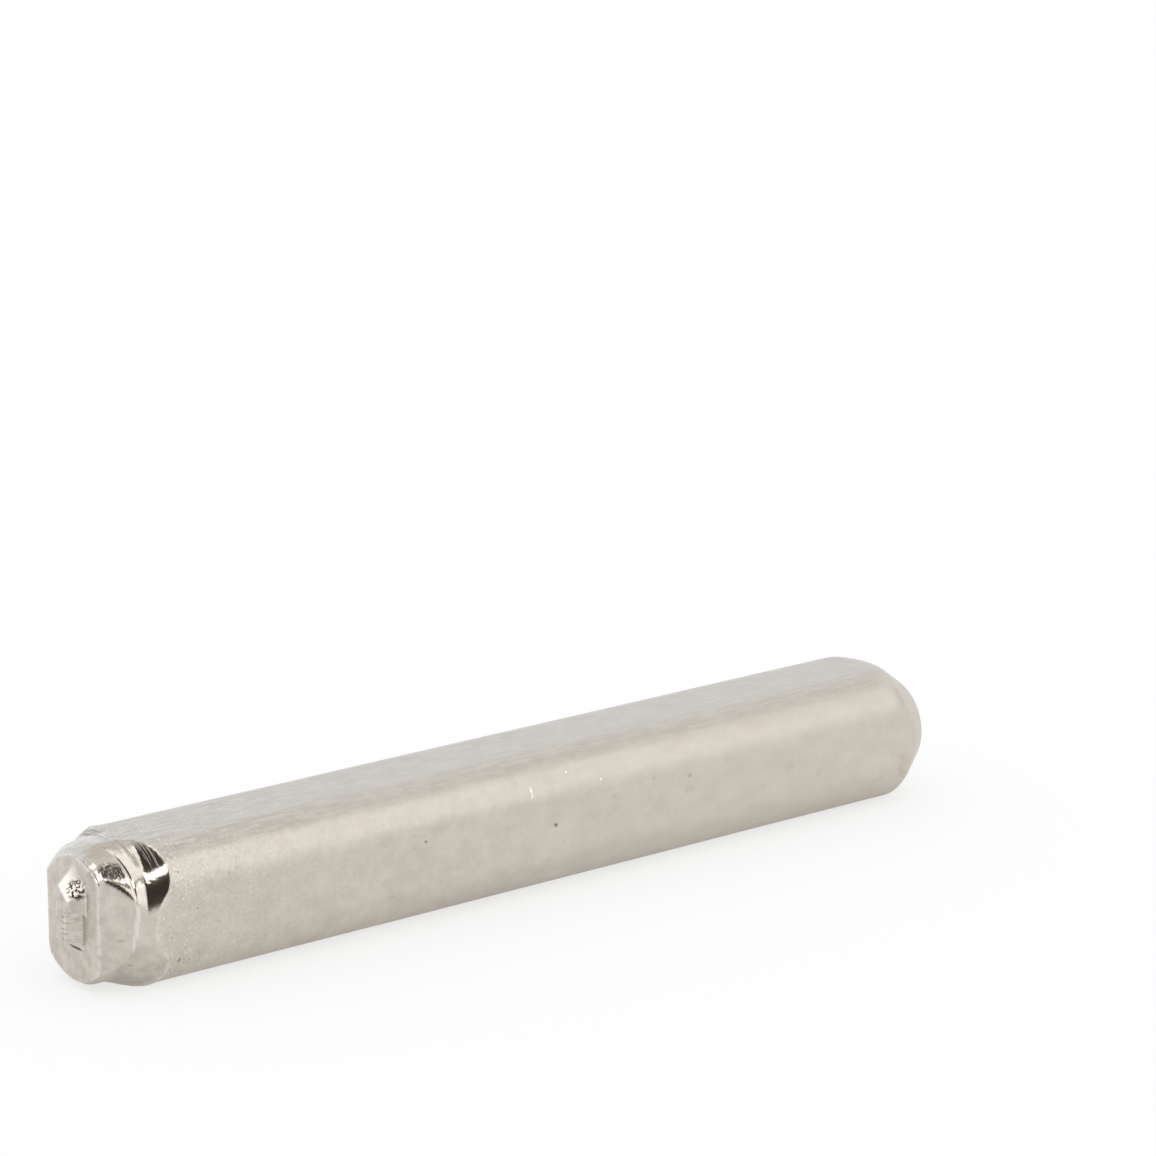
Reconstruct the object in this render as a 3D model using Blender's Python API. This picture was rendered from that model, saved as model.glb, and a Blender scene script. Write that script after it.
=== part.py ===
"""Number punch: one bar of nickel-plated tool steel.

The bar lies along X on one of its flats, with the character end at -X, the struck end at +X
and +Z up. The origin is under the middle of the bar, on the surface that it lies on.
"""

import math

import bmesh
import bpy
from mathutils import Matrix, Vector

# Overall sizes, in metres
TOTAL_LENGTH = 0.0600
SHANK_WIDTH = 0.0080
SHANK_CORNER_RADIUS = 0.0025

# Turned nose and neck behind the character
NOSE_DIAMETER = 0.0069
NOSE_TAPER_LENGTH = 0.0012
NECK_DIAMETER = 0.0078
NECK_LENGTH = 0.0020
NECK_FILLET_RADIUS = 0.0008
SHOULDER_ANGLE = math.radians(30)

# Slanting flats cut on both sides of the nose
NOSE_FLAT_WIDTH = 0.0049
NOSE_FLAT_ANGLE = math.radians(35)

# Chamfered struck end
STRUCK_FACE_DIAMETER = 0.0050
STRUCK_CHAMFER_ANGLE = math.radians(35)
STRUCK_EDGE_RADIUS = 0.0008

# Raised figure 1, mirrored so that it prints the right way round
FIGURE_RELIEF = 0.0008
FIGURE_HEIGHT = 0.0030
FIGURE_RISE = 0.0004
STEM_WIDTH = 0.00082
FLAG_REACH = 0.00031
FLAG_SLOPE = math.radians(40)
FLAG_END_HEIGHT = 0.00025
FLAG_UNDERSIDE_RISE = 0.00012
TOP_CORNER_WIDTH = 0.00021
TOP_CORNER_DROP = 0.00015
SIDE_FLANK_RUN = 0.0005
FOOT_FLANK_RUN = 0.0005
FLAG_UNDERSIDE_RUN = 0.0003
FLAG_END_RUN = 0.0006
FLAG_TOP_RUN = 0.0010
TOP_CORNER_RUN = 0.0007

# Construction
JOIN_OVERLAP = 0.0004
SEAM_MERGE = 0.00002
CUTTER_MARGIN = 0.0010
CORNER_SEGMENTS = 8
ROUND_PROFILE = 0.5
TURN_STEPS = 72
ARC_STEP = math.radians(8)
SHARP_ANGLE = math.radians(24)

# Finish
NICKEL_COLOUR = (0.56, 0.53, 0.48, 1.0)
NICKEL_ROUGHNESS = 0.36

# Places that follow from the sizes above
FIGURE_FACE_X = -TOTAL_LENGTH / 2
NOSE_FACE_X = FIGURE_FACE_X + FIGURE_RELIEF
STRUCK_FACE_X = TOTAL_LENGTH / 2
AXIS_HEIGHT = SHANK_WIDTH / 2
CORNER_CENTRE = SHANK_WIDTH / 2 - SHANK_CORNER_RADIUS
ACROSS_CORNERS = 2 * (math.hypot(CORNER_CENTRE, CORNER_CENTRE) + SHANK_CORNER_RADIUS)
CLEAR_RADIUS = max(ACROSS_CORNERS, NECK_DIAMETER, NOSE_DIAMETER, STRUCK_FACE_DIAMETER) / 2 + CUTTER_MARGIN


def new_object(name, build):
    """An object whose mesh the function build fills."""
    mesh = bpy.data.meshes.new(name)
    shape = bmesh.new()
    build(shape)
    shape.to_mesh(mesh)
    shape.free()
    made = bpy.data.objects.new(name, mesh)
    bpy.context.scene.collection.objects.link(made)
    return made


def prism(shape, rings):
    """A closed solid through rings of points that have the same count, capped at both ends."""
    loops = [[shape.verts.new(point) for point in ring] for ring in rings]
    count = len(loops[0])
    for front, back in zip(loops, loops[1:]):
        for i in range(count):
            j = (i + 1) % count
            shape.faces.new((front[i], front[j], back[j], back[i]))
    shape.faces.new(loops[0])
    shape.faces.new(loops[-1])
    bmesh.ops.recalc_face_normals(shape, faces=shape.faces)


def rounded(corner, before, after, radius):
    """Points of an arc that rounds one corner of an outline, from the side before to the side after."""
    to_before = (Vector(before) - Vector(corner)).normalized()
    to_after = (Vector(after) - Vector(corner)).normalized()
    half = to_before.angle(to_after) / 2
    centre = Vector(corner) + (to_before + to_after).normalized() * (radius / math.sin(half))
    start = Vector(corner) + to_before * (radius / math.tan(half)) - centre
    turn = math.pi - 2 * half
    if to_before.x * to_after.y - to_before.y * to_after.x > 0:
        turn = -turn
    steps = max(2, math.ceil(abs(turn) / ARC_STEP))
    return [centre + Matrix.Rotation(turn * i / steps, 2) @ start for i in range(steps + 1)]


def turned_profile():
    """Half the lengthwise section of what the lathe leaves, as points (x, radius) on the bar's axis."""
    nose = (NOSE_FACE_X, NOSE_DIAMETER / 2)
    neck = (NOSE_FACE_X + NOSE_TAPER_LENGTH, NECK_DIAMETER / 2)
    root = (NOSE_FACE_X + NECK_LENGTH, NECK_DIAMETER / 2)
    shoulder_length = (CLEAR_RADIUS - NECK_DIAMETER / 2) / math.tan(SHOULDER_ANGLE)
    shoulder = (root[0] + shoulder_length, CLEAR_RADIUS)
    chamfer_length = (CLEAR_RADIUS - STRUCK_FACE_DIAMETER / 2) / math.tan(STRUCK_CHAMFER_ANGLE)
    chamfer = (STRUCK_FACE_X - chamfer_length, CLEAR_RADIUS)
    edge = (STRUCK_FACE_X, STRUCK_FACE_DIAMETER / 2)
    centre = (STRUCK_FACE_X, 0.0)
    return [
        Vector((NOSE_FACE_X, 0.0)),
        Vector(nose),
        Vector(neck),
        *rounded(root, neck, shoulder, NECK_FILLET_RADIUS),
        Vector(shoulder),
        Vector(chamfer),
        *rounded(edge, chamfer, centre, STRUCK_EDGE_RADIUS),
        Vector(centre),
    ]


def square_bar(shape):
    """The drawn bar, a square with rounded corners, a little longer than the punch at both ends."""
    bmesh.ops.create_cube(shape, size=1.0)
    bar_length = TOTAL_LENGTH + 2 * CUTTER_MARGIN
    bmesh.ops.scale(shape, vec=(bar_length, SHANK_WIDTH, SHANK_WIDTH), verts=shape.verts)
    bmesh.ops.translate(shape, vec=(0.0, 0.0, AXIS_HEIGHT), verts=shape.verts)
    long_edges = [edge for edge in shape.edges if edge.calc_length() > bar_length / 2]
    bmesh.ops.bevel(
        shape,
        geom=long_edges,
        offset=SHANK_CORNER_RADIUS,
        offset_type="OFFSET",
        segments=CORNER_SEGMENTS,
        profile=ROUND_PROFILE,
        affect="EDGES",
    )


def turned_envelope(shape):
    """The turned profile spun about the bar's axis: nose, neck and shoulder, and the struck end's chamfer."""
    points = [shape.verts.new((point.x, 0.0, AXIS_HEIGHT + point.y)) for point in turned_profile()]
    edges = [shape.edges.new(pair) for pair in zip(points, points[1:])]
    bmesh.ops.spin(
        shape,
        geom=points + edges,
        cent=(0.0, 0.0, AXIS_HEIGHT),
        axis=(1.0, 0.0, 0.0),
        angle=math.tau,
        steps=TURN_STEPS,
    )
    bmesh.ops.remove_doubles(shape, verts=shape.verts, dist=SEAM_MERGE)
    bmesh.ops.recalc_face_normals(shape, faces=shape.faces)


def nose_plan(shape):
    """The outline from above: the nose's two slanting flats, opening until they clear the bar."""
    half_front = NOSE_FLAT_WIDTH / 2
    half_clear = CLEAR_RADIUS + CUTTER_MARGIN
    flat_end = NOSE_FACE_X + (half_clear - half_front) / math.tan(NOSE_FLAT_ANGLE)
    back = STRUCK_FACE_X + CUTTER_MARGIN
    front_lip = NOSE_FACE_X - CUTTER_MARGIN
    lip_half = half_front - CUTTER_MARGIN * math.tan(NOSE_FLAT_ANGLE)
    outline = [
        (front_lip, -lip_half),
        (flat_end, -half_clear),
        (back, -half_clear),
        (back, half_clear),
        (flat_end, half_clear),
        (front_lip, lip_half),
    ]
    heights = (AXIS_HEIGHT - half_clear, AXIS_HEIGHT + half_clear)
    prism(shape, [[(x, y, z) for x, y in outline] for z in heights])


def figure_outline():
    """The figure's face as (across, up, flank run of the edge that follows), seen from in front of it.

    Across grows towards -Y, which is the right-hand side for someone who faces the figure.
    """
    left = -STEM_WIDTH / 2
    right = STEM_WIDTH / 2
    foot = -FIGURE_HEIGHT / 2
    top = FIGURE_HEIGHT / 2
    corner = left + TOP_CORNER_WIDTH
    tip = right + FLAG_REACH
    tip_top = top - (tip - corner) * math.tan(FLAG_SLOPE)
    tip_foot = tip_top - FLAG_END_HEIGHT
    return [
        (left, foot, FOOT_FLANK_RUN),
        (right, foot, SIDE_FLANK_RUN),
        (right, tip_foot + FLAG_UNDERSIDE_RISE, FLAG_UNDERSIDE_RUN),
        (tip, tip_foot, FLAG_END_RUN),
        (tip, tip_top, FLAG_TOP_RUN),
        (corner, top, TOP_CORNER_RUN),
        (left, top - TOP_CORNER_DROP, SIDE_FLANK_RUN),
    ]


def spread(outline):
    """The outline with each edge moved out by its own flank run, where the flanks meet the nose."""
    count = len(outline)
    sides = []
    for i in range(count):
        across, up, run = outline[i]
        start = Vector((across, up))
        along = (Vector(outline[(i + 1) % count][:2]) - start).normalized()
        outward = Vector((along.y, -along.x))
        sides.append((start + outward * run, along))
    corners = []
    for i in range(count):
        (start, along), (other, direction) = sides[i - 1], sides[i]
        gap = other - start
        reach = (gap.x * direction.y - gap.y * direction.x) / (along.x * direction.y - along.y * direction.x)
        corners.append(start + along * reach)
    return corners


def raised_figure(shape):
    """The figure with its sloping flanks, rooted in the nose so that the two join cleanly."""
    outline = figure_outline()
    face = [Vector(point[:2]) for point in outline]
    base = spread(outline)
    sections = ((FIGURE_FACE_X, face), (NOSE_FACE_X, base), (NOSE_FACE_X + JOIN_OVERLAP, base))
    height = AXIS_HEIGHT + FIGURE_RISE
    prism(shape, [[(x, -point.x, height + point.y) for point in ring] for x, ring in sections])


def combine(target, operation, tool):
    """Cut target to tool, or join tool to it, and take the tool away."""
    step = target.modifiers.new(tool.name, "BOOLEAN")
    step.operation = operation
    step.object = tool
    step.solver = "EXACT"
    with bpy.context.temp_override(object=target, active_object=target):
        bpy.ops.object.modifier_apply(modifier=step.name)
    bpy.data.objects.remove(tool)


def close_seams(target):
    """Merge the near-coincident points that the cuts leave along their seams."""
    shape = bmesh.new()
    shape.from_mesh(target.data)
    bmesh.ops.remove_doubles(shape, verts=shape.verts, dist=SEAM_MERGE)
    bmesh.ops.dissolve_degenerate(shape, edges=shape.edges, dist=SEAM_MERGE)
    shape.to_mesh(target.data)
    shape.free()


def nickel_plate():
    """Satin nickel plating on steel."""
    material = bpy.data.materials.new("satin_nickel")
    material.use_nodes = True
    shader = material.node_tree.nodes["Principled BSDF"]
    shader.inputs["Base Color"].default_value = NICKEL_COLOUR
    shader.inputs["Metallic"].default_value = 1.0
    shader.inputs["Roughness"].default_value = NICKEL_ROUGHNESS
    return material


for old in list(bpy.data.objects):
    bpy.data.objects.remove(old)

punch_body = new_object("punch_body", square_bar)
combine(punch_body, "INTERSECT", new_object("turned_envelope", turned_envelope))
combine(punch_body, "INTERSECT", new_object("nose_plan", nose_plan))
combine(punch_body, "UNION", new_object("raised_figure", raised_figure))
close_seams(punch_body)
punch_body.data.shade_smooth()
punch_body.data.set_sharp_from_angle(angle=SHARP_ANGLE)
punch_body.data.materials.clear()
punch_body.data.materials.append(nickel_plate())
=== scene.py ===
import math

import bmesh
import bpy
import numpy as np
from mathutils import Matrix, Vector, noise


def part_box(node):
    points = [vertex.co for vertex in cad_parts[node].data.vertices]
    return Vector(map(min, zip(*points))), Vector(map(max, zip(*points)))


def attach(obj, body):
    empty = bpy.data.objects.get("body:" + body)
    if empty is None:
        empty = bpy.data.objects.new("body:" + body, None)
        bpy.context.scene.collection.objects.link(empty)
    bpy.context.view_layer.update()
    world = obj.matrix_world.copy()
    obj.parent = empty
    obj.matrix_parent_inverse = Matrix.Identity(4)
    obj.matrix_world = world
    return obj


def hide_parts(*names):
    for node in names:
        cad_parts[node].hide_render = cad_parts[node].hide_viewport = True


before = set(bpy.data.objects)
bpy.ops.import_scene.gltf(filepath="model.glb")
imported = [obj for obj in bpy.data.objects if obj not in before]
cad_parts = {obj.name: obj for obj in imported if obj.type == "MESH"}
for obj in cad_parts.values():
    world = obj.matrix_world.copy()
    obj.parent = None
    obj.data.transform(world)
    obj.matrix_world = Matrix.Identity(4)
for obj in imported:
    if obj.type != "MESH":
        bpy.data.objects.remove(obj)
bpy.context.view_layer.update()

# The bar
# One length of square tool steel with broad round corners, turned down to a nose at one end and
# chamfered at the other. It is drawn out ring by ring, from the nose back to the struck face.
MM = 0.001
MICRON = 0.001 * MM
bar_low, bar_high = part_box("punch_body")
BAR_HALF = (bar_high.y - bar_low.y) / 2
BAR_CORNER = 2.5 * MM
AXIS = bar_low.z + BAR_HALF
FIGURE_RELIEF = 0.8 * MM
NOSE_X = bar_low.x + FIGURE_RELIEF
NOSE_TO_STRUCK = bar_high.x - NOSE_X
COLUMNS = 360
COLUMN_STEP = math.tau / COLUMNS
# Angles run from the near side over the top
angle = np.arange(COLUMNS) * COLUMN_STEP
# Columns on each side over which sizes round the bar are softened
SOFTEN = 14


def around(degrees, sizes):
    """Sizes known at a few angles, joined softly all the way round the bar."""
    line = np.interp(np.degrees(angle), degrees, sizes, period=math.degrees(math.tau))
    spread = range(-SOFTEN, SOFTEN + 1)
    weights = [1 + math.cos(math.pi * shift / (SOFTEN + 1)) for shift in spread]
    return sum(weight * np.roll(line, shift) for weight, shift in zip(weights, spread)) / sum(weights)


def smaller(first, second, rounding):
    """The smaller of two radii, with the edge between them rounded off."""
    share = np.clip(0.5 + 0.5 * (second - first) / rounding, 0, 1)
    return second + (first - second) * share - rounding * share * (1 - share)


def ramp(station, start, end):
    """How far a station lies on the way from start to end, from 0 to 1."""
    return np.clip((station - start) / (end - start), 0, 1)


# Radii, stations and slopes of the turned end, each round the bar at these angles
NECK_ANGLES = (0, 12, 25, 36, 45, 65, 85, 105, 120, 150, 180, 225, 270, 300, 340)
nose = around(
    NECK_ANGLES, [3.47, 3.47, 3.46, 3.45, 3.44, 3.40, 3.36, 3.30, 3.20, 3.15, 3.4, 3.5, 3.57, 3.55, 3.50]
) * MM
neck = around(
    NECK_ANGLES, [3.52, 3.60, 3.76, 3.76, 3.76, 3.76, 3.74, 3.68, 3.55, 3.45, 3.6, 3.7, 3.76, 3.76, 3.55]
) * MM
root = around(
    NECK_ANGLES, [1.62, 1.70, 1.75, 1.75, 1.75, 1.6, 1.3, 1.05, 0.85, 0.95, 1.2, 1.2, 1.15, 1.2, 1.5]
) * MM
band = around(
    NECK_ANGLES, [2.4, 2.33, 2.37, 2.48, 2.66, 2.8, 3.3, 2.5, 1.6, 1.6, 2.4, 2.0, 2.0, 1.8, 2.4]
) * MM
band_end = around(
    NECK_ANGLES, [3.863, 3.82, 3.895, 4.02, 4.125, 4.16, 4.10, 4.06] + [4.04] * 6 + [4.0]
) * MM
neck_root = around(NECK_ANGLES, [3.60, 3.70, 3.87] + [3.90] * 8 + [3.85, 3.78, 3.76, 3.62]) * MM
shoulder = np.tan(np.radians(around(NECK_ANGLES, [18, 20, 22, 24] + [26] * 10 + [21])))
flat_rounding = around(
    (0, 30, 45, 150, 180, 215, 315, 340), [0.10, 0.22, 0.20, 0.08, 0.12, 0.45, 0.45, 0.12]
) * MM
lathe_sheen = around((0, 20, 160, 180, 210, 320, 340), [0.9, 1.0, 1.0, 0.8, 0.4, 0.4, 0.8])
groove = around((0, 18, 34, 50, 72, 170, 200, 340), [0, 0, 0.03, 0.026, 0.01, 0.01, 0, 0]) * MM
NOSE_TAPER = 0.32 * MM
GROOVE_WIDTH = 0.06 * MM
SWELL_HEIGHT = 0.12 * MM
SWELL_PLACE = 2.75 * MM
SWELL_LENGTH = 0.45 * MM
NOSE_FLAT_HALF = 2.45 * MM
NOSE_FLAT_SLOPE = math.tan(math.radians(35))
STRUCK_RADIUS = 2.76 * MM
CHAMFER_ANGLE = math.radians(36)
CHAMFER_DROP = 0.29 * MM
STRUCK_ROUNDING = 0.35 * MM
STRUCK_DENTS = 0.12 * MM
UNEVEN = 0.010 * MM
WAVES_ALONG = 0.12 / MM
WAVES_ACROSS = 0.45 / MM
SHANK_EASE = 1.0 * MM
EDGE_BLEND = 0.02 * MM
FILED_SHEEN = 0.4
# Width of the bright band along the shoulder and nose edges: rubbed wear and painted edge highlight
RUB_AND_HIGHLIGHT_WIDTH = 0.10 * MM
NOSE_ROUNDING = 0.10 * MM
SHOULDER_ROUNDING = 0.07 * MM
CHAMFER_ROUNDING = 0.45 * MM
PROUD_CORNER = math.radians(45)
PROUD_SHARPNESS = 3
# The cosine and the sine below which the flats and the floor no longer limit the radius
FLANK_LIMIT = 0.2
FLOOR_LIMIT = 0.5

core = BAR_HALF - BAR_CORNER
wide = np.maximum(abs(np.cos(angle)), abs(np.sin(angle)))
slim = np.minimum(abs(np.cos(angle)), abs(np.sin(angle)))
corner_reach = core * (wide + slim)
corner = corner_reach + np.sqrt(np.maximum(corner_reach**2 - 2 * core**2 + BAR_CORNER**2, 0))
bar = np.where(BAR_HALF * slim / wide <= core, BAR_HALF / wide, corner)
# The corners at the upper far side and the lower near side stand a little proud behind the shoulder
proud = np.maximum(-np.cos(2 * (angle - PROUD_CORNER)), 0) ** PROUD_SHARPNESS
flank = 1 / np.maximum(abs(np.cos(angle)), FLANK_LIMIT)
# Nothing reaches below the floor that the bar lies on
to_floor = BAR_HALF / np.maximum(-np.sin(angle), FLOOR_LIMIT)


def ground(radius):
    """Reach from the axis to a circle about the struck end's middle, which lies a little low."""
    return np.sqrt(radius**2 - (CHAMFER_DROP * np.cos(angle)) ** 2) - CHAMFER_DROP * np.sin(angle)


def uneven(station):
    """Slight lengthwise waves that drawing leaves on the bar."""
    across = bar * np.cos(angle) * WAVES_ACROSS
    up = bar * np.sin(angle) * WAVES_ACROSS
    spots = zip(station * WAVES_ALONG, across, up)
    return UNEVEN * np.array([noise.noise(Vector(spot)) for spot in spots])


def turned(station):
    """Radius that the lathe leaves: nose taper, neck, band and shoulder."""
    size = nose + (neck - nose) * ramp(station, 0, NOSE_TAPER)
    size = size + (neck_root - neck) * ramp(station, NOSE_TAPER, root)
    size = size + (band_end - neck_root) * ramp(station, root, band)
    size = size - groove * np.exp(-(((station - root) / GROOVE_WIDTH) ** 2))
    return size + np.maximum(station - band, 0) * shoulder


def filed_flat(station):
    """Reach from the axis to the flats filed on both sides of the nose."""
    return (NOSE_FLAT_HALF + station * NOSE_FLAT_SLOPE) * flank


def outside(station):
    """Radius of the finished bar at a station for every column."""
    swell = SWELL_HEIGHT * proud * np.exp(-(((station - SWELL_PLACE) / SWELL_LENGTH) ** 2))
    size = smaller(bar + swell, turned(station), SHOULDER_ROUNDING)
    size = smaller(size, filed_flat(station), flat_rounding)
    size = size + uneven(station) * ramp(station, shoulder_edge, shoulder_edge + SHANK_EASE)
    chamfer = ground(STRUCK_RADIUS + (NOSE_TO_STRUCK - station) * math.tan(CHAMFER_ANGLE))
    return np.minimum(smaller(size, chamfer, CHAMFER_ROUNDING), to_floor)


on_band = root + (bar - neck_root) / np.maximum(band_end - neck_root, MICRON) * (band - root)
shoulder_edge = np.where(bar < band_end, on_band, band + (bar - band_end) / shoulder)
chamfer_reach = np.hypot(bar * np.cos(angle), bar * np.sin(angle) + CHAMFER_DROP)
chamfer_edge = NOSE_TO_STRUCK - (chamfer_reach - STRUCK_RADIUS) / math.tan(CHAMFER_ANGLE)

NOSE_FACE_RIM = 0.2 * MM
NOSE_ARC_RINGS = 6
nose_edge = outside(np.full(COLUMNS, NOSE_ROUNDING))
rim = nose_edge - NOSE_ROUNDING
rings = [(np.zeros(COLUMNS), rim - NOSE_FACE_RIM)]
for turn in np.linspace(0, math.pi / 2, NOSE_ARC_RINGS):
    size = nose_edge - NOSE_ROUNDING * (1 - math.sin(turn))
    rings.append((np.full(COLUMNS, NOSE_ROUNDING * (1 - math.cos(turn))), size))


def bright(station):
    """1 on the turned nose and neck, less on the filed flats, 0 on the drawn bar."""
    lathe = ramp(bar - turned(station), -EDGE_BLEND, EDGE_BLEND)
    filed = ramp(turned(station) - filed_flat(station), -EDGE_BLEND, EDGE_BLEND)
    return lathe * lathe_sheen * (1 - filed) + FILED_SHEEN * filed


def rub_and_highlight(station, radius):
    """1 on the edges painted bright, as rubbed wear and painted edge highlight: round the shoulder and round
    the nose face.
    """
    scallop = np.exp(-(((station - shoulder_edge) / RUB_AND_HIGHLIGHT_WIDTH) ** 2))
    return np.maximum(scallop, (radius > rim - NOSE_ROUNDING) * np.exp(-((station / RUB_AND_HIGHLIGHT_WIDTH) ** 2)))


def draw_to(start, end, count):
    """Rings evenly spaced from just past start up to end."""
    for share in np.arange(1, count + 1) / count:
        station = start + (end - start) * share + np.zeros(COLUMNS)
        rings.append((station, outside(station)))


EDGE_REACH = 0.16 * MM
ROOT_REACH = 0.6 * EDGE_REACH
SHANK_START = 5 * MM
CHAMFER_REACH = 0.5 * MM
CHAMFER_LEAD = 0.9 * CHAMFER_REACH
STRUCK_ARC_RINGS = 9
STRUCK_FACE_RINGS = 14
STRUCK_CENTRE = 0.25
band_turn = np.minimum(band, shoulder_edge - 2 * EDGE_REACH)
arc_start = math.pi / 2 - CHAMFER_ANGLE
arc_station = NOSE_TO_STRUCK - STRUCK_ROUNDING
arc_radius = STRUCK_RADIUS - STRUCK_ROUNDING * (1 - math.sin(CHAMFER_ANGLE)) / math.cos(CHAMFER_ANGLE)
# Where each stretch of the bar ends, from the nose back, and how many rings it takes
stretches = [
    (NOSE_TAPER, 6),
    (root - ROOT_REACH, 8),
    (root + ROOT_REACH, 8),
    (band_turn, 6),
    (shoulder_edge - EDGE_REACH, 8),
    (shoulder_edge + EDGE_REACH, 10),
    (SHANK_START, 8),
    (np.min(chamfer_edge) - CHAMFER_REACH, 90),
    (chamfer_edge - CHAMFER_LEAD, 2),
    (chamfer_edge + CHAMFER_REACH, 12),
    (arc_station + STRUCK_ROUNDING * math.cos(arc_start), 10),
]
drawn = NOSE_ROUNDING
for end, count in stretches:
    draw_to(drawn, end, count)
    drawn = end
for turn in np.linspace(arc_start, 0, STRUCK_ARC_RINGS)[1:]:
    station = np.full(COLUMNS, arc_station + STRUCK_ROUNDING * math.cos(turn))
    rings.append((station, ground(np.full(COLUMNS, arc_radius + STRUCK_ROUNDING * math.sin(turn)))))
for share in np.linspace(1, STRUCK_CENTRE, STRUCK_FACE_RINGS)[1:]:
    size = ground(np.full(COLUMNS, arc_radius * share))
    spots = zip(size * np.cos(angle) / MM, size * np.sin(angle) / MM)
    dents = np.array([noise.noise(Vector((across, up, 0))) for across, up in spots])
    rings.append((NOSE_TO_STRUCK - STRUCK_DENTS * (1 - share) * np.maximum(dents, 0), size))


def set_ring(station, radius):
    """Puts the selected ring's points at their stations and radii, each on its own angle."""
    shape = bmesh.from_edit_mesh(punch.data)
    sheen = shape.verts.layers.float["turned"]
    rub_and_highlight_layer = shape.verts.layers.float["rub_and_highlight"]
    shine = bright(station)
    rub_and_highlight_here = rub_and_highlight(station, radius)
    for point in shape.verts:
        if point.select:
            column = round(math.atan2(point.co.z - AXIS, -point.co.y) / COLUMN_STEP) % COLUMNS
            across = radius[column] * math.cos(angle[column])
            up = radius[column] * math.sin(angle[column])
            point.co = (NOSE_X + station[column], -across, AXIS + up)
            point[sheen] = shine[column]
            point[rub_and_highlight_layer] = rub_and_highlight_here[column]
    bmesh.update_edit_mesh(punch.data)


bpy.ops.object.select_all(action="DESELECT")
bpy.ops.mesh.primitive_circle_add(
    vertices=COLUMNS, radius=BAR_HALF, location=(NOSE_X, 0, AXIS), rotation=(0, math.pi / 2, 0)
)
punch = bpy.context.object
punch.name = "number_punch"
bpy.ops.object.transform_apply(location=True, rotation=True, scale=True)
bpy.ops.object.mode_set(mode="EDIT")
bpy.ops.mesh.select_all(action="SELECT")
for layer in ("turned", "rub_and_highlight"):
    bmesh.from_edit_mesh(punch.data).verts.layers.float.new(layer)
set_ring(*rings[0])
for ring in rings[1:]:
    bpy.ops.mesh.extrude_region_move()
    set_ring(*ring)
bpy.ops.mesh.merge(type="CENTER")
bpy.ops.object.mode_set(mode="OBJECT")

# The figure
# A mirrored 1 that stands on the nose, with sloping flanks and slightly rounded edges.
# It is cut in one with the bar, so it is joined to the nose face here.
FIGURE_HEIGHT = 3.0 * MM
FIGURE_RISE = 0.4 * MM
STEM_WIDTH = 0.82 * MM
FLAG_REACH = 0.31 * MM
FLAG_SLOPE = math.tan(math.radians(40))
FLAG_END = 0.25 * MM
FLAG_UNDERSIDE = 0.12 * MM
TOP_CORNER_WIDTH = 0.21 * MM
TOP_CORNER_DROP = 0.15 * MM
FIGURE_ROUNDING = 0.05 * MM
FIGURE_RIM = 0.11 * MM
FIGURE_FOOT = 0.04 * MM
EDGE_STEPS = 3
ROUND_PROFILE = 0.5
FLANK_RISE = FIGURE_RELIEF / 20
LEAST_SLANT = 0.1
FACE_CORNERS = 4
SMOOTH_ANGLE = math.radians(35)

stem = STEM_WIDTH / 2
figure_top = FIGURE_HEIGHT / 2
flag_tip = stem + FLAG_REACH
flag_top = figure_top - (flag_tip + stem - TOP_CORNER_WIDTH) * FLAG_SLOPE
# Points across and up as someone facing the figure sees them, each with the run of the flank after it
figure_outline = [
    (-stem, -figure_top, 0.5 * MM),
    (stem, -figure_top, 0.5 * MM),
    (stem, flag_top - FLAG_END + FLAG_UNDERSIDE, 0.3 * MM),
    (flag_tip, flag_top - FLAG_END, 0.6 * MM),
    (flag_tip, flag_top, 1.0 * MM),
    (TOP_CORNER_WIDTH - stem, figure_top, 0.7 * MM),
    (-stem, figure_top - TOP_CORNER_DROP, 0.5 * MM),
]


def figure_loop(share, spread):
    """The figure's outline part of the way down its flanks, spread outwards at the foot."""
    sides = []
    for (across, up, run), after in zip(figure_outline, figure_outline[1:] + figure_outline[:1]):
        along = (Vector(after[:2]) - Vector((across, up))).normalized()
        out = Vector((along.y, -along.x))
        sides.append((Vector((across, up)) + (run * share + spread) * out, along))
    corners = []
    for (start, along), (other, direction) in zip(sides[-1:] + sides[:-1], sides):
        corners.append(start + along * ((other - start).cross(direction) / along.cross(direction)))
    return corners


def set_figure(share, spread, height):
    """Puts the selected corners of the figure on an outline, each in its own order."""
    shape = bmesh.from_edit_mesh(figure.data)
    order = shape.verts.layers.int["order"]
    corners = sorted((point for point in shape.verts if point.select), key=lambda point: point[order])
    for point, (across, up) in zip(corners, figure_loop(share, spread)):
        point.co = (NOSE_X - height, -across, AXIS + FIGURE_RISE + up)
    bmesh.update_edit_mesh(figure.data)


bpy.ops.object.select_all(action="DESELECT")
bpy.ops.mesh.primitive_circle_add(vertices=len(figure_outline), radius=STEM_WIDTH)
figure = bpy.context.object
bpy.ops.object.mode_set(mode="EDIT")
bpy.ops.mesh.select_all(action="SELECT")
shape = bmesh.from_edit_mesh(figure.data)
order = shape.verts.layers.int.new("order")
for point in shape.verts:
    point[order] = point.index
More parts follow.
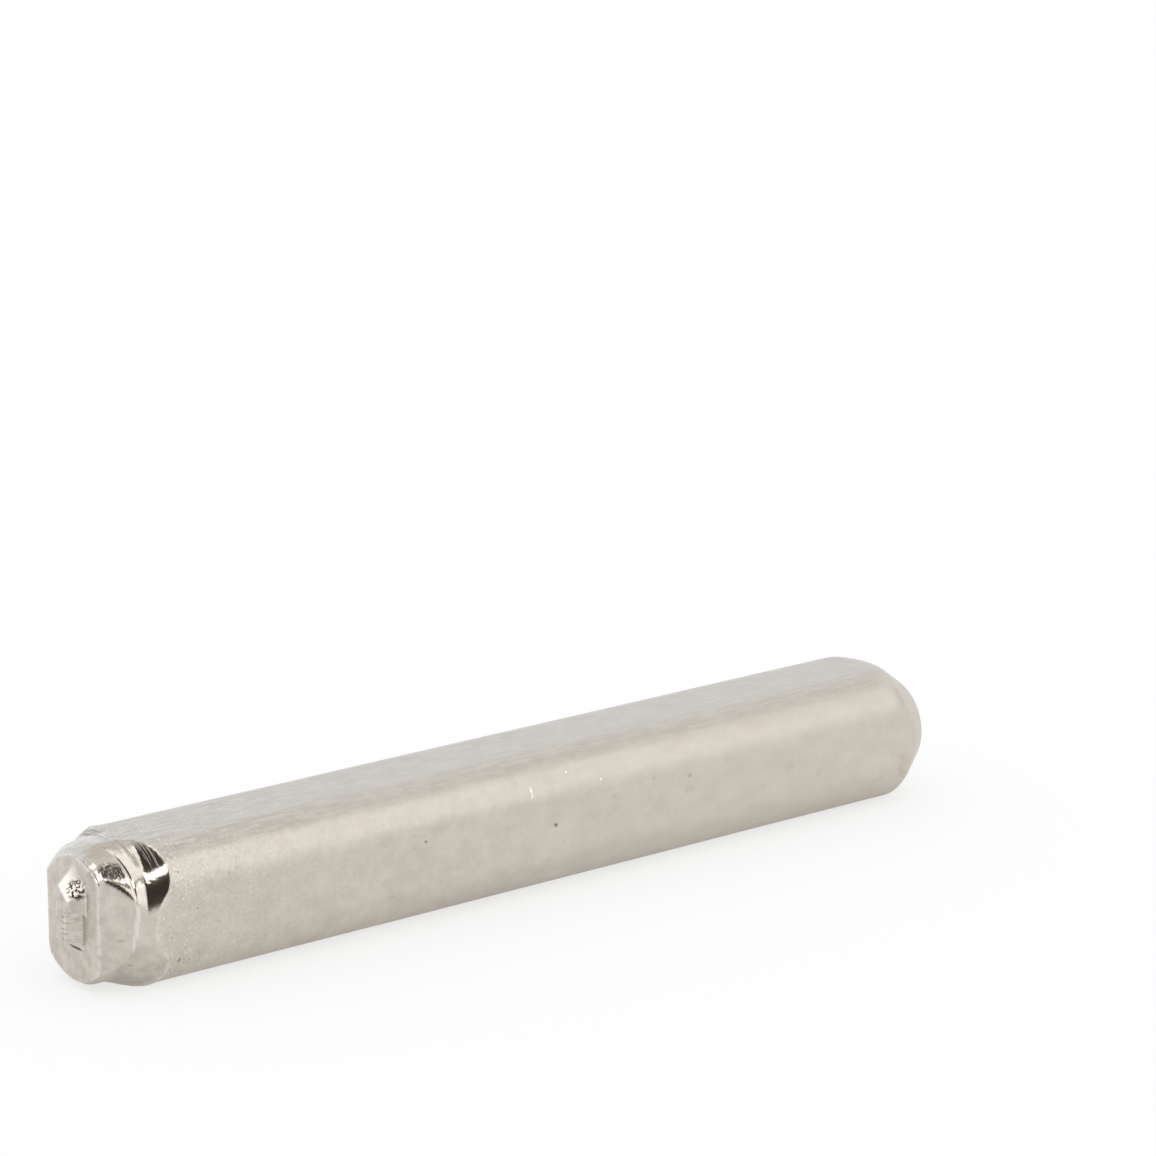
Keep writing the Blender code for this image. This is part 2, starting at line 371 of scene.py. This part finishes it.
# From the foot, which runs into the nose face in a hollow curve, up to the edge of the figure: the share
# of the flank's run, then the spread beyond it and the height in millimetres
FIGURE_STEPS = [
    (1.00, 0.10, 0.0),
    (1.00, 0.045, 0.012),
    (0.98, 0.012, 0.03),
    (0.93, 0.0, 0.056),
    (0.12, 0.0, 0.704),
]
for number, (share, spread, height) in enumerate(FIGURE_STEPS):
    if number:
        bpy.ops.mesh.extrude_region_move()
    set_figure(share, spread * MM, height * MM)
bpy.ops.mesh.extrude_region_move()
set_figure(0, 0, FIGURE_RELIEF)
bpy.ops.mesh.edge_face_add()
bpy.ops.mesh.inset(thickness=FIGURE_RIM)
bpy.ops.mesh.select_all(action="DESELECT")
shape = bmesh.from_edit_mesh(figure.data)
figure_edge = NOSE_X - FIGURE_RELIEF
for edge in shape.edges:
    low, high = (point.co.x - figure_edge for point in edge.verts)
    up_flank = abs(low - high) > FLANK_RISE
    level = len(edge.link_faces) == 2 and max(low, high) < MICRON
    slanted = level and abs(edge.link_faces[0].normal.x - edge.link_faces[1].normal.x) > LEAST_SLANT
    edge.select_set(up_flank or slanted)
bmesh.update_edit_mesh(figure.data)
bpy.ops.mesh.bevel(offset=FIGURE_ROUNDING, segments=EDGE_STEPS, profile=ROUND_PROFILE, affect="EDGES")
bpy.ops.object.mode_set(mode="OBJECT")
bpy.ops.object.select_all(action="DESELECT")
figure.select_set(True)
punch.select_set(True)
bpy.context.view_layer.objects.active = punch
bpy.ops.object.join()
bpy.ops.object.mode_set(mode="EDIT")
bpy.ops.mesh.select_all(action="DESELECT")
shape = bmesh.from_edit_mesh(punch.data)
sheen = shape.verts.layers.float["turned"]
rub_and_highlight_layer = shape.verts.layers.float["rub_and_highlight"]
for point in shape.verts:
    if point.co.x < NOSE_X + MICRON:
        point[sheen] = FILED_SHEEN
    # The figure's foot hollow on the near side and its rounded edges are painted bright too: rubbed wear and
    # painted edge highlight
    in_hollow = NOSE_X - FIGURE_FOOT < point.co.x < NOSE_X - MICRON and point.co.y < 0
    on_face = any(len(face.verts) > FACE_CORNERS for face in point.link_faces)
    if in_hollow or point.co.x < figure_edge + FIGURE_ROUNDING and not on_face:
        point[rub_and_highlight_layer] = 1
for edge in shape.edges:
    edge.select_set(edge.is_boundary)
bmesh.update_edit_mesh(punch.data)
bpy.ops.mesh.fill(use_beauty=True)
bpy.ops.mesh.select_all(action="SELECT")
bpy.ops.mesh.normals_make_consistent(inside=False)
bpy.ops.object.mode_set(mode="OBJECT")
bpy.ops.object.shade_smooth_by_angle(angle=SMOOTH_ANGLE)

# The plating
# Satin nickel over the drawn steel: cloudy, finely grained and a little pitted on the shank, with painted
# glints behind the shoulder, brighter where the lathe and the file have been, and rust-stained at the struck
# end.
# Painted highlights lie along some edges and streaks, and a painted shadow under the figure's foot.
class Wire:
    """One output of a shader node, which takes part in sums."""

    def __init__(self, tree, socket=None):
        self.tree = tree
        self.socket = socket

    def node(self, kind, settings, sockets, out=0):
        """Adds a node, sets it up, feeds its sockets and gives back one of its outputs."""
        made = self.tree.nodes.new(kind)
        for name, value in settings.items():
            setattr(made, name, value)
        for name, value in sockets.items():
            if isinstance(value, Wire):
                self.tree.links.new(value.socket, made.inputs[name])
            else:
                made.inputs[name].default_value = value
        return Wire(self.tree, made.outputs[out])

    def worked(self, operation, first, second):
        return self.node("ShaderNodeMath", {"operation": operation}, {0: first, 1: second})

    def __add__(self, other):
        return self.worked("ADD", self, other)

    def __radd__(self, other):
        return self.worked("ADD", other, self)

    def __sub__(self, other):
        return self.worked("SUBTRACT", self, other)

    def __rsub__(self, other):
        return self.worked("SUBTRACT", other, self)

    def __mul__(self, other):
        return self.worked("MULTIPLY", self, other)

    def __rmul__(self, other):
        return self.worked("MULTIPLY", other, self)


# Places of the colour sockets on a Mix node
FIRST_COLOUR = 6
SECOND_COLOUR = 7
MIXED_COLOUR = 2
NOISE_ROUGHNESS = 0.55
MARK_EDGE = (1.0, 0.5)


def step(value, low, high):
    """0 on the low side, 1 past the high side and smooth between them."""
    sockets = {"Value": value, "From Min": low, "From Max": high}
    return value.node("ShaderNodeMapRange", {"interpolation_type": "SMOOTHSTEP"}, sockets)


def tinted(share, first, second):
    """The first colour where the share is 0, the second where it is 1."""
    sockets = {"Factor": share, FIRST_COLOUR: first, SECOND_COLOUR: second}
    return share.node("ShaderNodeMix", {"data_type": "RGBA"}, sockets, MIXED_COLOUR)


def cloud(place, often, detail):
    """Noise that changes about as often in a millimetre, along each axis, as is said."""
    spread = place.node("ShaderNodeVectorMath", {"operation": "MULTIPLY"}, {0: place, 1: often})
    sockets = {"Vector": spread, "Scale": 1.0, "Detail": detail, "Roughness": NOISE_ROUGHNESS}
    return place.node("ShaderNodeTexNoise", {}, sockets)


def mark(place, middle, reach):
    """1 at a small mark's middle, falling to 0 at its reach along each axis."""
    away = place.node("ShaderNodeVectorMath", {"operation": "SUBTRACT"}, {0: place, 1: middle})
    share = place.node("ShaderNodeVectorMath", {"operation": "DIVIDE"}, {0: away, 1: reach})
    return step(place.node("ShaderNodeVectorMath", {"operation": "LENGTH"}, {0: share}, "Value"), *MARK_EDGE)


def marks(place, spots):
    """Several marks as one."""
    total = mark(place, *spots[0])
    for spot in spots[1:]:
        total = total.worked("MAXIMUM", total, mark(place, *spot))
    return total


# The hole black also paints the shadow under the figure's foot; the bare white also paints highlights and
# glints
NICKEL_DULL = (0.577, 0.530, 0.468, 1)
NICKEL_CLEAR = (0.660, 0.616, 0.549, 1)
PIT_BROWN = (0.16, 0.14, 0.12, 1)
HOLE_AND_SHADOW_BLACK = (0.03, 0.027, 0.025, 1)
BARE_AND_HIGHLIGHT_WHITE = (0.95, 0.93, 0.90, 1)
RUST = (0.30, 0.17, 0.09, 1)
SATIN = 0.42
TURNED_SHEEN = 0.10
# Pits, stains, bare spots, rust and other marks that show, with a painted shadow under the figure's foot and
# painted highlight lines, in millimetres: middle, then reach along each axis
PITS = [
    ((-8.62, -4.0, 4.98), (0.13, 0.3, 0.11)),
    ((0.60, -4.0, 4.09), (0.13, 0.3, 0.11)),
    ((-25.08, -4.0, 1.70), (0.16, 0.3, 0.20)),
    ((-24.94, -3.75, 6.60), (0.07, 0.3, 0.06)),
    ((-23.90, -4.0, 4.40), (0.07, 0.3, 0.06)),
    ((-30.0, -0.27, 4.23), (0.1, 0.18, 0.06)),
    ((-30.0, -0.24, 3.55), (0.1, 0.22, 0.05)),
    ((-30.0, -0.21, 2.98), (0.1, 0.16, 0.05)),
]
FADED_PITS = [
    ((-28.23, -3.11, 3.27), (0.30, 0.4, 0.12)),
    ((-27.63, -3.00, 1.74), (0.22, 0.4, 0.12)),
    ((0.60, -4.0, 4.09), (0.24, 0.4, 0.20)),
    ((10.52, -4.0, 5.10), (0.22, 0.4, 0.18)),
]
STAINS = [
    ((-2.00, -3.56, 6.92), (0.35, 0.4, 0.28)),
    ((18.24, -4.0, 4.15), (0.50, 0.4, 0.40)),
    ((20.54, -4.0, 3.33), (0.40, 0.4, 0.35)),
    ((10.52, -4.0, 4.32), (0.45, 0.4, 0.35)),
    ((4.84, -4.0, 4.96), (0.35, 0.4, 0.25)),
]
BARE_SPOTS = [
    ((-1.07, -3.84, 6.28), (0.09, 0.4, 0.46)),
    ((1.67, -3.56, 6.91), (0.08, 0.2, 0.08)),
    ((3.94, -3.92, 6.14), (0.08, 0.2, 0.08)),
    ((-24.59, -3.97, 5.91), (0.06, 0.2, 0.05)),
    ((-24.37, -4.0, 5.42), (0.05, 0.2, 0.07)),
    ((-24.82, -4.0, 5.13), (0.06, 0.2, 0.05)),
    ((-24.15, -3.98, 5.82), (0.05, 0.2, 0.05)),
    ((-24.62, -4.0, 2.78), (0.06, 0.2, 0.06)),
    ((-24.43, -3.98, 2.16), (0.05, 0.2, 0.06)),
]
RUST_SPOTS = [
    ((27.45, -3.85, 2.40), (0.75, 0.9, 1.00)),
    ((27.40, -3.60, 6.75), (0.32, 0.6, 0.85)),
]
# Painted shadow: a dark line along the bottom of the figure's foot on the nose face, where the crease is in
# shade
FOOT_SHADOW = ((-29.2, -0.25, 2.34), (0.25, 0.85, 0.14))
NOSE_EDGE = ((-29.05, -2.05, 6.90), (0.35, 0.60, 0.55))
# Painted highlights: a bright line along the stem's near foot on the nose face, and bright streaks on the
# band's lower near side
HIGHLIGHT_LINES = [
    ((-29.2, -0.97, 3.2), (0.15, 0.09, 0.95)),
    ((-27.43, -3.70, 4.75), (0.16, 0.3, 0.70)),
    ((-27.53, -3.62, 4.00), (0.14, 0.3, 0.90)),
    ((-27.66, -3.52, 3.00), (0.11, 0.3, 0.80)),
]
STEM_FLANK = ((-29.6, -0.45, 3.75), (0.9, 0.75, 1.3))
NECK_PATCH = ((-28.40, -2.36, 7.00), (0.95, 0.80, 0.66))
CONE_PATCH = ((-26.35, -3.45, 5.95), (0.75, 0.6, 0.95))
FLAG_FLANK = ((-29.5, -0.85, 5.80), (0.75, 0.75, 0.75))

nickel = bpy.data.materials.new("satin_nickel")
nickel.use_nodes = True
finish = nickel.node_tree.nodes["Principled BSDF"]
start = Wire(nickel.node_tree)
metres = start.node("ShaderNodeTexCoord", {}, {}, "Object")
place = start.node("ShaderNodeVectorMath", {"operation": "SCALE"}, {0: metres, "Scale": 1 / MM})
polish = start.node("ShaderNodeAttribute", {"attribute_name": "turned"}, {}, "Fac")
rub_and_highlight_edges = start.node("ShaderNodeAttribute", {"attribute_name": "rub_and_highlight"}, {}, "Fac")
plain = 1 - polish

# Where on the bar the finish changes, in millimetres: none of it at the first, all of it at the second
TOP_FACE = (7.0, 7.9)
HEAD_END = (-12.0, -25.0)
SHOULDER_END = (-23.8, -24.8)
CLOUDED_END = (12.0, -16.0)
# How cloudy the bar still is towards the struck end, and how unpolished a place is that counts as shank
LEAST_CLOUDED = 0.5
SHANK_ONLY = (0.75, 0.95)
lengthwise = start.node("ShaderNodeSeparateXYZ", {}, {0: place}, "X")
up = start.node("ShaderNodeSeparateXYZ", {}, {0: place}, "Z")
rolled = step(up, *TOP_FACE)
near_head = step(lengthwise, *HEAD_END)
near_shoulder = step(lengthwise, *SHOULDER_END)
unsettled = LEAST_CLOUDED + (1 - LEAST_CLOUDED) * step(lengthwise, *CLOUDED_END)
shank = step(plain, *SHANK_ONLY)

# Noise of the finish: how often in a millimetre along each axis, then its detail
MOTTLE = ((0.55, 0.8, 0.8), 5.0)
BLOTCHES = ((1.6, 1.6, 1.6), 4.0)
DRAW_LINES = ((0.55, 4.5, 4.5), 3.0)
GRAIN = ((5.0, 5.0, 5.0), 3.0)
FINE = ((6.0, 6.0, 6.0), 2.0)
LATHE_LINES = ((10.0, 0.35, 0.35), 2.0)
CHATTER = ((2.4, 2.4, 2.4), 3.0)
GATHERING = ((0.3, 0.6, 0.6), 2.0)
RUST_CLOUD = ((2.0, 2.0, 2.0), 4.0)
FILE_LINES = ((2.0, 0.9, 9.0), 3.0)
SMUDGES = ((1.3, 1.3, 1.3), 5.0)
SPECKS_PER_MM = 0.9
NOISE_MIDDLE = 0.5
mottle = cloud(place, *MOTTLE)
blotches = cloud(place, *BLOTCHES)
draw_lines = cloud(place, *DRAW_LINES)
grain = cloud(place, *GRAIN)
fine = cloud(place, *FINE)
lathe_lines = cloud(place, *LATHE_LINES)
chatter = cloud(place, *CHATTER)

# Levels of the noise where each kind of wear and the painted glints begin and where they are full
GATHERED = (0.54, 0.64)
SPECK_EDGE = (0.16, 0.06)
BARE_GRAINS = (0.35, 0.50)
RUSTED = (0.38, 0.64)
SCORED = (0.50, 0.58)
FILED = (0.49, 0.60)
SMUDGED = (0.38, 0.68)
FLANK_HOLES = (0.50, 0.56)
NECK_HOLES = (0.46, 0.56)
EDGE_HOLES = (0.52, 0.60)
GLINT_LEVELS = (0.58, 0.68)
DUST = (0.42, 0.32)
RUB_AND_HIGHLIGHT_DASHES = (0.36, 0.56)
# How strong the painted highlight lines, the faintest rust and the painted glints at each place are
HIGHLIGHT_LINE_SHARE = 0.4
LEAST_RUST = 0.4
GLINTS_AT_HEAD = 0.22
GLINTS_AT_SHOULDER = 0.25
# Polish times plain is a quarter where both are half, so four times that is full
HALF_POLISHED = 4.0
# The tool scored the upper part of the cone only, in millimetres
SCORED_UP = (6.85, 7.15)
SCORED_FROM = (-27.5, -27.2)
speck_reach = start.node("ShaderNodeTexVoronoi", {}, {"Vector": place, "Scale": SPECKS_PER_MM}, "Distance")
specks = step(speck_reach, *SPECK_EDGE) * step(cloud(place, *GATHERING), *GATHERED) * plain
pits = marks(place, PITS)
stains = marks(place, STAINS)
faded = marks(place, FADED_PITS)
# Bare spots, plus the painted highlight lines
bare_and_highlights = marks(place, BARE_SPOTS) * step(grain, *BARE_GRAINS) + HIGHLIGHT_LINE_SHARE * marks(place, HIGHLIGHT_LINES)
rusted = LEAST_RUST + (1 - LEAST_RUST) * step(cloud(place, *RUST_CLOUD), *RUSTED)
rust = marks(place, RUST_SPOTS) * rusted
scored = step(lathe_lines, *SCORED) * polish * step(up, *SCORED_UP) * step(lengthwise, *SCORED_FROM)
filed = mark(place, *STEM_FLANK) * step(cloud(place, *FILE_LINES), *FILED)
smudged = polish * plain * HALF_POLISHED * step(cloud(place, *SMUDGES), *SMUDGED)
flank_holes = mark(place, *FLAG_FLANK) * step(fine, *FLANK_HOLES)
rough_neck = mark(place, *NECK_PATCH)
neck_holes = rough_neck * step(fine, *NECK_HOLES)
rough_cone = mark(place, *CONE_PATCH)
foot_shadow = mark(place, *FOOT_SHADOW)
worn_edge = mark(place, *NOSE_EDGE)
edge_holes = worn_edge * step(fine, *EDGE_HOLES)
# Painted glints: bright specks near the head and behind the shoulder that stand in for tiny reflections
painted_glints = step(fine, *GLINT_LEVELS) * shank * (GLINTS_AT_HEAD * near_head + GLINTS_AT_SHOULDER * near_shoulder)
dusted = step(fine, *DUST) * shank * near_head
# Dashed bright lines along those edges: rubbed wear and painted edge highlight
rub_and_highlight_dashes = rub_and_highlight_edges * step(chatter, *RUB_AND_HIGHLIGHT_DASHES)

# Shares of each noise in the cloudy colour, whose middle is that of their sum
BLOTCH_SHARE = 0.8
GRAIN_SHARE = 0.5
CLOUDY_MIDDLE = 1.15
CLOUDY_RANGE = (0.85, 1.45)
LINES_ALL_ROUND = 0.15
LINES_ON_TOP = 1.2
LINES_AT_HEAD = 2.8
# How strongly each kind of wear, and each painted shadow, highlight and glint, colours the plating
DUST_TINT = 0.22
SPECK_TINT = 0.15
STAIN_TINT = 0.16
PIT_TINT = 0.6
FADED_TINT = 0.28
SMUDGE_TINT = 0.22
EDGE_TINT = 0.5
FOOT_SHADOW_TINT = 0.85
NECK_TINT = 0.7
BARE_AND_HIGHLIGHT_TINT = 0.85
RUB_AND_HIGHLIGHT_TINT = 0.34
RUST_TINT = 0.20
SCORED_TINT = 0.3
FILED_TINT = 0.38
clouds = mottle + BLOTCH_SHARE * blotches + GRAIN_SHARE * grain
lines = LINES_ALL_ROUND + rolled * (LINES_ON_TOP + LINES_AT_HEAD * near_head)
cloudy = CLOUDY_MIDDLE + unsettled * (clouds - CLOUDY_MIDDLE) + lines * (draw_lines - NOISE_MIDDLE)
blemishes = pits * PIT_TINT + faded * FADED_TINT + smudged * SMUDGE_TINT + edge_holes * EDGE_TINT
colour = tinted(step(cloudy, *CLOUDY_RANGE), NICKEL_DULL, NICKEL_CLEAR)
# Painted glints
colour = tinted(painted_glints, colour, BARE_AND_HIGHLIGHT_WHITE)
colour = tinted(dusted * DUST_TINT, colour, PIT_BROWN)
colour = tinted(specks * SPECK_TINT + STAIN_TINT * stains * blotches, colour, PIT_BROWN)
colour = tinted(blemishes, colour, PIT_BROWN)
# Holes darkened, and the painted shadow in the crease under the figure's foot
colour = tinted(flank_holes.worked("MAXIMUM", flank_holes, FOOT_SHADOW_TINT * foot_shadow), colour, HOLE_AND_SHADOW_BLACK)
colour = tinted(neck_holes * NECK_TINT, colour, HOLE_AND_SHADOW_BLACK)
# Brightened: bare spots, painted highlight lines, and the edge dashes of rubbed wear and painted highlight
colour = tinted(bare_and_highlights.worked("MAXIMUM", bare_and_highlights * BARE_AND_HIGHLIGHT_TINT, rub_and_highlight_dashes * RUB_AND_HIGHLIGHT_TINT), colour, BARE_AND_HIGHLIGHT_WHITE)
colour = tinted(rust * RUST_TINT, colour, RUST)
colour = tinted(scored * SCORED_TINT, colour, PIT_BROWN)
colour = tinted(filed * FILED_TINT, colour, PIT_BROWN)

# What each noise and kind of wear adds to the roughness
MOTTLE_DULLING = 0.12
BLOTCH_DULLING = 0.10
LINES_DULLING = 0.10
PIT_DULLING = 0.1
CHATTER_DULLING = 0.06
SCORED_DULLING = 0.34
EDGE_DULLING = 0.2
clouding = MOTTLE_DULLING * (mottle - NOISE_MIDDLE) + BLOTCH_DULLING * (blotches - NOISE_MIDDLE)
lining = LINES_DULLING * rolled * (draw_lines - NOISE_MIDDLE)
satin = SATIN + unsettled * clouding + lining + PIT_DULLING * pits
turned_sheen = TURNED_SHEEN + CHATTER_DULLING * chatter + SCORED_DULLING * scored + EDGE_DULLING * worn_edge
roughness = satin * plain + turned_sheen * polish

# Heights and depths of the surface, in microns
LINE_HEIGHT = 0.6
TOP_LINE_HEIGHT = 1.6
HEAD_LINE_HEIGHT = 3.6
GRAIN_HEIGHT = 1.2
MOTTLE_HEIGHT = 9.0
BLOTCH_HEIGHT = 4.0
LATHE_HEIGHT = 5.0
CHATTER_HEIGHT = 4.0
FINE_HEIGHT = 3.0
NECK_HEIGHT = 13.0
CONE_HEIGHT = 6.0
PIT_DEPTH = 12.0
SPECK_DEPTH = 4.0
FLANK_DEPTH = 12.0
EDGE_DEPTH = 8.0
line_height = LINE_HEIGHT + rolled * (TOP_LINE_HEIGHT + HEAD_LINE_HEIGHT * near_head)
cloud_height = unsettled * (MOTTLE_HEIGHT * mottle + BLOTCH_HEIGHT * blotches)
shank_height = line_height * draw_lines + GRAIN_HEIGHT * grain + cloud_height
fine_height = FINE_HEIGHT + NECK_HEIGHT * rough_neck + CONE_HEIGHT * rough_cone
turned_height = LATHE_HEIGHT * lathe_lines + CHATTER_HEIGHT * chatter + fine_height * fine
height = shank_height * plain + turned_height * polish
height = height - PIT_DEPTH * pits - SPECK_DEPTH * specks
height = height - FLANK_DEPTH * flank_holes - EDGE_DEPTH * edge_holes
bump = start.node("ShaderNodeBump", {}, {"Strength": 1.0, "Distance": MICRON, "Height": height})
finish.inputs["Metallic"].default_value = 1
for socket, value in (("Base Color", colour), ("Roughness", roughness), ("Normal", bump)):
    nickel.node_tree.links.new(value.socket, finish.inputs[socket])
punch.data.materials.clear()
punch.data.materials.append(nickel)
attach(punch, "root")
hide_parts("punch_body")

# The floor
# A plain white sheet that the punch lies on, wide enough to fill every view. Part of its light is its
# own, so that it stays white behind the punch and still takes a soft shadow.
SHEET_GLOW = 0.7
SHEET_GLOW_IN_METAL = 0.35
SHEET_SIZE = 6
PAPER = (0.99, 0.99, 0.99, 1)
LIGHT = (1, 1, 1, 1)
bpy.ops.object.select_all(action="DESELECT")
bpy.ops.mesh.primitive_plane_add(size=SHEET_SIZE, location=(0, 0, bar_low.z))
floor = bpy.context.object
floor.name = "floor"
bpy.ops.object.transform_apply(location=True, rotation=True, scale=True)
sheet = bpy.data.materials.new("white_sheet")
sheet.use_nodes = True
paper = sheet.node_tree.nodes["Principled BSDF"]
paper.inputs["Base Color"].default_value = PAPER
paper.inputs["Roughness"].default_value = 1
paper.inputs["Specular IOR Level"].default_value = 0
lit = Wire(sheet.node_tree, paper.outputs["BSDF"])
seen = lit.node("ShaderNodeLightPath", {}, {}, "Is Camera Ray")
seen = seen + lit.node("ShaderNodeLightPath", {}, {}, "Is Transmission Ray")
mirrored = lit.node("ShaderNodeLightPath", {}, {}, "Is Glossy Ray")
share = seen * SHEET_GLOW + mirrored * SHEET_GLOW_IN_METAL
glow = lit.node("ShaderNodeEmission", {}, {"Color": LIGHT, "Strength": 1.0})
both = lit.node("ShaderNodeMixShader", {}, {0: share, 1: lit, 2: glow})
sheet.node_tree.links.new(both.socket, sheet.node_tree.nodes["Material Output"].inputs["Surface"])
floor.data.materials.append(sheet)

# The studio
# A white room with a dark panel overhead, a duller ceiling behind it, a soft box on the right, five lamps
# and a dark gap in the near wall from the floor up. Only metal shows these: the floor gets plain white.
DARK = (0.05, 0.043, 0.037, 1)
PANEL_LEFT = -0.75
PANEL_RIGHT = 0.52
PANEL_NEAR = -1.6
PANEL_FAR = 0.48
PANEL_BLUR = 0.06
HORIZON = 0.02
NOTCH_LEFT = 0.26
NOTCH_FAR = -0.10
LOW_PANEL_RIGHT = 0.70
LOW_PANEL_TOP = -1.0
GAP_TOWARDS = (-0.20, -0.98, 0.0)
GAP_ACROSS = (0.98, -0.20, 0.0)
# Edges of the gap, the cool back wall, the ceiling and the soft box, each from none to all of it, as parts
# of a direction. The gap's width is squared, so that both of its sides are one edge.
GAP_SIDES = (0.084, 0.058)
GAP_FRONT = (0.0, 0.2)
GAP_SILL = (-0.01, 0.03)
COOL_BACK = (0.2, 0.6)
CEILING_RISE = (0.52, 0.66)
CEILING_BACK = (0.1, 0.3)
CEILING_RIGHT = (0.54, 0.44)
BOX_LEFT = (0.34, 0.44)
BOX_RIGHT = (0.67, 0.55)
BOX_FRONT = (-0.10, -0.38)
BOX_SILL = (0.0, 0.18)
LOW_BOX_LEFT = (0.14, 0.24)
LOW_BOX_FRONT = (-0.76, -0.85)
LOW_BOX_SILL = (0.0, 0.05)
LOW_BOX_SHARE = 0.5
COOL = (1.00, 1.05, 1.125, 1)
CEILING = (0.83, 0.80, 0.80, 1)
BOX = (1.75, 1.75, 1.75, 1)
world = bpy.data.worlds.new("studio")
world.use_nodes = True
world.cycles.sampling_method = "NONE"
sky = Wire(world.node_tree)
direction = sky.node("ShaderNodeTexCoord", {}, {}, "Generated")


def along(axis):
    """How far the direction points along an axis."""
    return sky.node("ShaderNodeVectorMath", {"operation": "DOT_PRODUCT"}, {0: direction, 1: axis}, "Value")


rightward = along((1, 0, 0))
backward = along((0, 1, 0))
rise = along((0, 0, 1))
above = rise.worked("MAXIMUM", rise, HORIZON)
right = rightward.worked("DIVIDE", rightward, above)
back = backward.worked("DIVIDE", backward, above)
low_panel = step(back, LOW_PANEL_TOP + PANEL_BLUR, LOW_PANEL_TOP)
panel_right = PANEL_RIGHT + (LOW_PANEL_RIGHT - PANEL_RIGHT) * low_panel
panel = step(right, PANEL_LEFT - PANEL_BLUR, PANEL_LEFT) * step(right - panel_right, PANEL_BLUR, 0.0)
panel = panel * step(back, PANEL_NEAR - PANEL_BLUR, PANEL_NEAR)
panel_far = PANEL_FAR + (NOTCH_FAR - PANEL_FAR) * step(right, NOTCH_LEFT, NOTCH_LEFT + PANEL_BLUR)
panel = panel * step(back - panel_far, 2 * PANEL_BLUR, 0.0)
across = along(GAP_ACROSS)
gap = step(across * across, *GAP_SIDES) * step(along(GAP_TOWARDS), *GAP_FRONT) * step(rise, *GAP_SILL)
dark = panel.worked("MAXIMUM", panel, gap)
cool = step(backward, *COOL_BACK)
ceiling = step(rise, *CEILING_RISE) * step(backward, *CEILING_BACK) * step(rightward, *CEILING_RIGHT)
box = step(rightward, *BOX_LEFT) * step(rightward, *BOX_RIGHT)
box = box * step(backward, *BOX_FRONT) * step(rise, *BOX_SILL)
low_box = step(rightward, *LOW_BOX_LEFT) * step(backward, *LOW_BOX_FRONT) * step(rise, *LOW_BOX_SILL)
box = box.worked("MAXIMUM", box, LOW_BOX_SHARE * low_box)
walls = tinted(ceiling, tinted(cool, LIGHT, COOL), CEILING)
room = tinted(dark, tinted(box, walls, BOX), DARK)
mirrored = sky.node("ShaderNodeLightPath", {}, {}, "Is Glossy Ray")
background = world.node_tree.nodes["Background"]
world.node_tree.links.new(tinted(mirrored, LIGHT, room).socket, background.inputs["Color"])
bpy.context.scene.world = world
bpy.context.scene.view_settings.view_transform = "Standard"

# Each lamp's place, the point it faces, its width and height in metres, and its radiance
LAMPS = {
    "cone_lamp": ((-0.15, -0.43, 0.43), (-0.20, 0, 0), (0.23, 0.157), 3.2),
    "neck_lamp": ((0.195, -0.292, 0.43), (0, 0, 0), (0.09, 0.07), 3.2),
    "cross_lamp": ((0.023, -0.125, 0.45), (0.023, -0.125, 0), (0.154, 0.65), 1.35),
    "strip_lamp": ((0.126, -0.462, 0.35), (0.03, 0, 0), (0.08, 0.14), 1.8),
    "left_lamp": ((-0.44, 0.03, 0.32), (-0.03, 0, 0), (0.3, 0.3), 1.7),
}
for name, (spot, aim, size, radiance) in LAMPS.items():
    facing = (Vector(aim) - Vector(spot)).to_track_quat("-Z", "Y").to_euler()
    bpy.ops.object.light_add(type="AREA", location=spot, rotation=facing)
    lamp = bpy.context.object
    lamp.name = name
    lamp.data.shape = "RECTANGLE"
    lamp.data.size, lamp.data.size_y = size
    lamp.data.energy = radiance * math.pi * size[0] * size[1]
    lamp.visible_diffuse = False

# The camera
# It stands before the nose, to the left of the bar, and looks down on it a little.
CAMERA_PLACE = (-157.022 * MM, -200.649 * MM, 86.181 * MM)
CAMERA_BEARING = math.radians(51.010 - 90)
CAMERA_DIP = math.radians(15.021)
CAMERA_ROLL = math.radians(0.105)
SENSOR_WIDTH = 36
FOCAL_LENGTH = 145.777
CLIP_START = 10 * MM
bpy.ops.object.camera_add(location=CAMERA_PLACE)
camera = bpy.context.object
turn = Matrix.Rotation(CAMERA_BEARING, 4, "Z") @ Matrix.Rotation(math.pi / 2 - CAMERA_DIP, 4, "X")
camera.rotation_euler = (turn @ Matrix.Rotation(CAMERA_ROLL, 4, "Z")).to_euler()
camera.data.sensor_width = SENSOR_WIDTH
camera.data.lens = FOCAL_LENGTH
camera.data.clip_start = CLIP_START
bpy.context.scene.camera = camera
